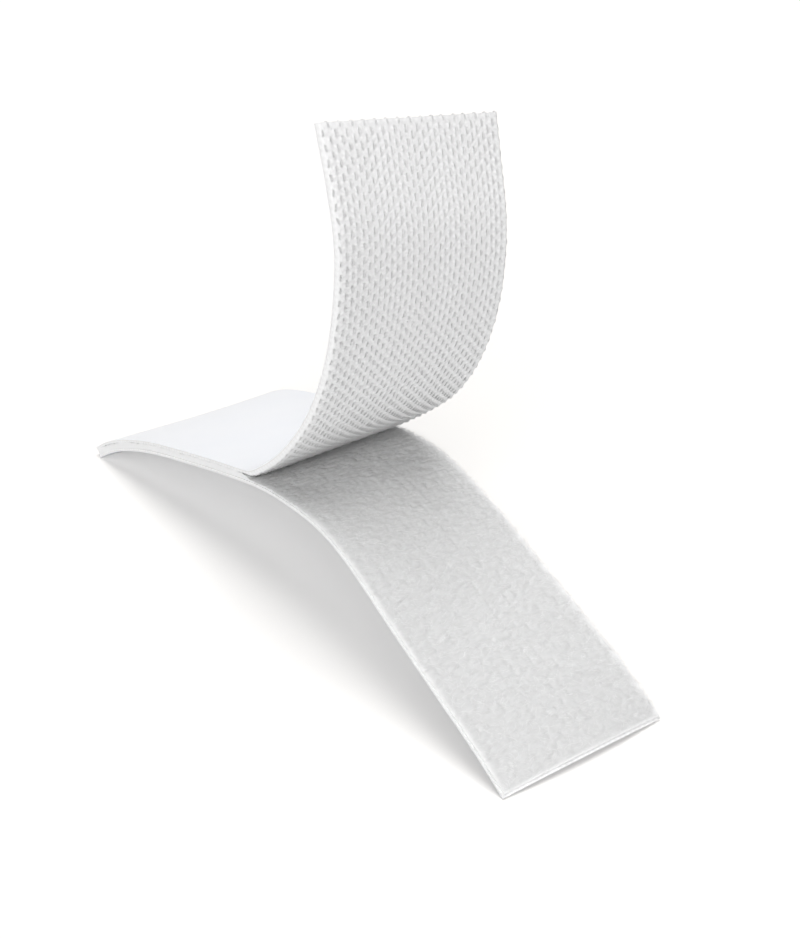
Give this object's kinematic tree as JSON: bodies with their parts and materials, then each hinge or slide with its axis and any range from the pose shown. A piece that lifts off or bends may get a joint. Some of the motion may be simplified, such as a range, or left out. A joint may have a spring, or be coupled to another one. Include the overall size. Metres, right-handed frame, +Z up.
{
  "type": "hook and loop tape strip pair",
  "caption": "White self-adhesive hook and loop tape strips, pressed together at one end and peeled apart at the other, with a curled hook tail and an arched loop tail.",
  "frame": {"origin": "on the floor under the middle of the part's box", "axes": "+X along the strips from the mated end to the loop strip's free end, +Y across the strips, +Z up"},
  "size_m": [0.0944, 0.025, 0.065],
  "materials": {
    "liner": "smooth satin film",
    "adhesive": "soft tacky layer",
    "ground": "fine woven nylon",
    "hooks": "nylon monofilament",
    "pile": "brushed fuzzy loops"
  },
  "bodies": {
    "loop_bond": {"loop_liner_bond": "liner", "loop_adhesive_bond": "adhesive", "loop_ground_bond": "ground", "loop_pile_bond": "pile"},
    "loop_heel": {"loop_liner_heel": "liner", "loop_adhesive_heel": "adhesive", "loop_ground_heel": "ground", "loop_pile_heel": "pile"},
    "loop_tail_1": {"loop_liner_tail_1": "liner", "loop_adhesive_tail_1": "adhesive", "loop_ground_tail_1": "ground", "loop_pile_tail_1": "pile"},
    "loop_tail_2": {"loop_liner_tail_2": "liner", "loop_adhesive_tail_2": "adhesive", "loop_ground_tail_2": "ground", "loop_pile_tail_2": "pile"},
    "loop_tail_3": {"loop_liner_tail_3": "liner", "loop_adhesive_tail_3": "adhesive", "loop_ground_tail_3": "ground", "loop_pile_tail_3": "pile"},
    "hook_bond": {"hook_field_bond": "hooks", "hook_ground_bond": "ground", "hook_adhesive_bond": "adhesive", "hook_liner_bond": "liner"},
    "hook_heel": {"hook_field_heel": "hooks", "hook_ground_heel": "ground", "hook_adhesive_heel": "adhesive", "hook_liner_heel": "liner"},
    "hook_tail_1": {"hook_field_tail_1": "hooks", "hook_ground_tail_1": "ground", "hook_adhesive_tail_1": "adhesive", "hook_liner_tail_1": "liner"},
    "hook_tail_2": {"hook_field_tail_2": "hooks", "hook_ground_tail_2": "ground", "hook_adhesive_tail_2": "adhesive", "hook_liner_tail_2": "liner"},
    "hook_tail_3": {"hook_field_tail_3": "hooks", "hook_ground_tail_3": "ground", "hook_adhesive_tail_3": "adhesive", "hook_liner_tail_3": "liner"},
    "hook_tail_4": {"hook_field_tail_4": "hooks", "hook_ground_tail_4": "ground", "hook_adhesive_tail_4": "adhesive", "hook_liner_tail_4": "liner"}
  },
  "joints": [
    {"name": "heel_flex", "type": "hinge", "parent": "loop_bond", "child": "loop_heel", "pos_m": [-0.02873, 0, 0.00994], "axis": [0, -1, 0], "range_deg": [-10, 12], "stiffness_Nm_per_rad": 0.06},
    {"name": "strip_lift", "type": "slide", "parent": "loop_bond", "child": "hook_bond", "axis": [-0.2756, 0, 0.9613], "range_m": [0, 0.03]},
    {"name": "hook_heel_flex", "type": "hinge", "parent": "hook_bond", "child": "hook_heel", "pos_m": [-0.02873, 0, 0.00994], "axis": [0, -1, 0], "range_deg": [-10, 12], "stiffness_Nm_per_rad": 0.06},
    {"name": "hook_peel", "type": "hinge", "parent": "hook_bond", "child": "hook_tail_1", "pos_m": [-0.00484, 0, 0.01744], "axis": [0, -1, 0], "range_deg": [-18, 16], "stiffness_Nm_per_rad": 0.012},
    {"name": "hook_curl_2", "type": "hinge", "parent": "hook_tail_1", "child": "hook_tail_2", "pos_m": [0.00283, 0, 0.02374], "axis": [0, -1, 0], "range_deg": [-17, 15.11], "stiffness_Nm_per_rad": 0.012},
    {"name": "hook_curl_3", "type": "hinge", "parent": "hook_tail_2", "child": "hook_tail_3", "pos_m": [0.01094, 0, 0.03606], "axis": [0, -1, 0], "range_deg": [-26, 23.11], "stiffness_Nm_per_rad": 0.012},
    {"name": "hook_curl_4", "type": "hinge", "parent": "hook_tail_3", "child": "hook_tail_4", "pos_m": [0.01257, 0, 0.05074], "axis": [0, -1, 0], "range_deg": [-24, 21.33], "stiffness_Nm_per_rad": 0.012},
    {"name": "loop_bend", "type": "hinge", "parent": "loop_bond", "child": "loop_tail_1", "pos_m": [-0.00448, 0, 0.01625], "axis": [0, -1, 0], "range_deg": [-6, 5], "stiffness_Nm_per_rad": 0.03},
    {"name": "loop_bend_2", "type": "hinge", "parent": "loop_tail_1", "child": "loop_tail_2", "pos_m": [0.01053, 0, 0.01661], "axis": [0, -1, 0], "range_deg": [-21.6, 18], "stiffness_Nm_per_rad": 0.03},
    {"name": "loop_bend_3", "type": "hinge", "parent": "loop_tail_2", "child": "loop_tail_3", "pos_m": [0.02916, 0, 0.00928], "axis": [0, -1, 0], "range_deg": [-6, 5], "stiffness_Nm_per_rad": 0.03}
  ],
  "couplings": [
    {"joint": "hook_heel_flex", "follows": "heel_flex", "ratio": 1},
    {"joint": "hook_curl_2", "follows": "hook_peel", "ratio": 0.9444},
    {"joint": "hook_curl_3", "follows": "hook_peel", "ratio": 1.4444},
    {"joint": "hook_curl_4", "follows": "hook_peel", "ratio": 1.3333},
    {"joint": "loop_bend_2", "follows": "loop_bend", "ratio": 3.6},
    {"joint": "loop_bend_3", "follows": "loop_bend", "ratio": 1}
  ]
}
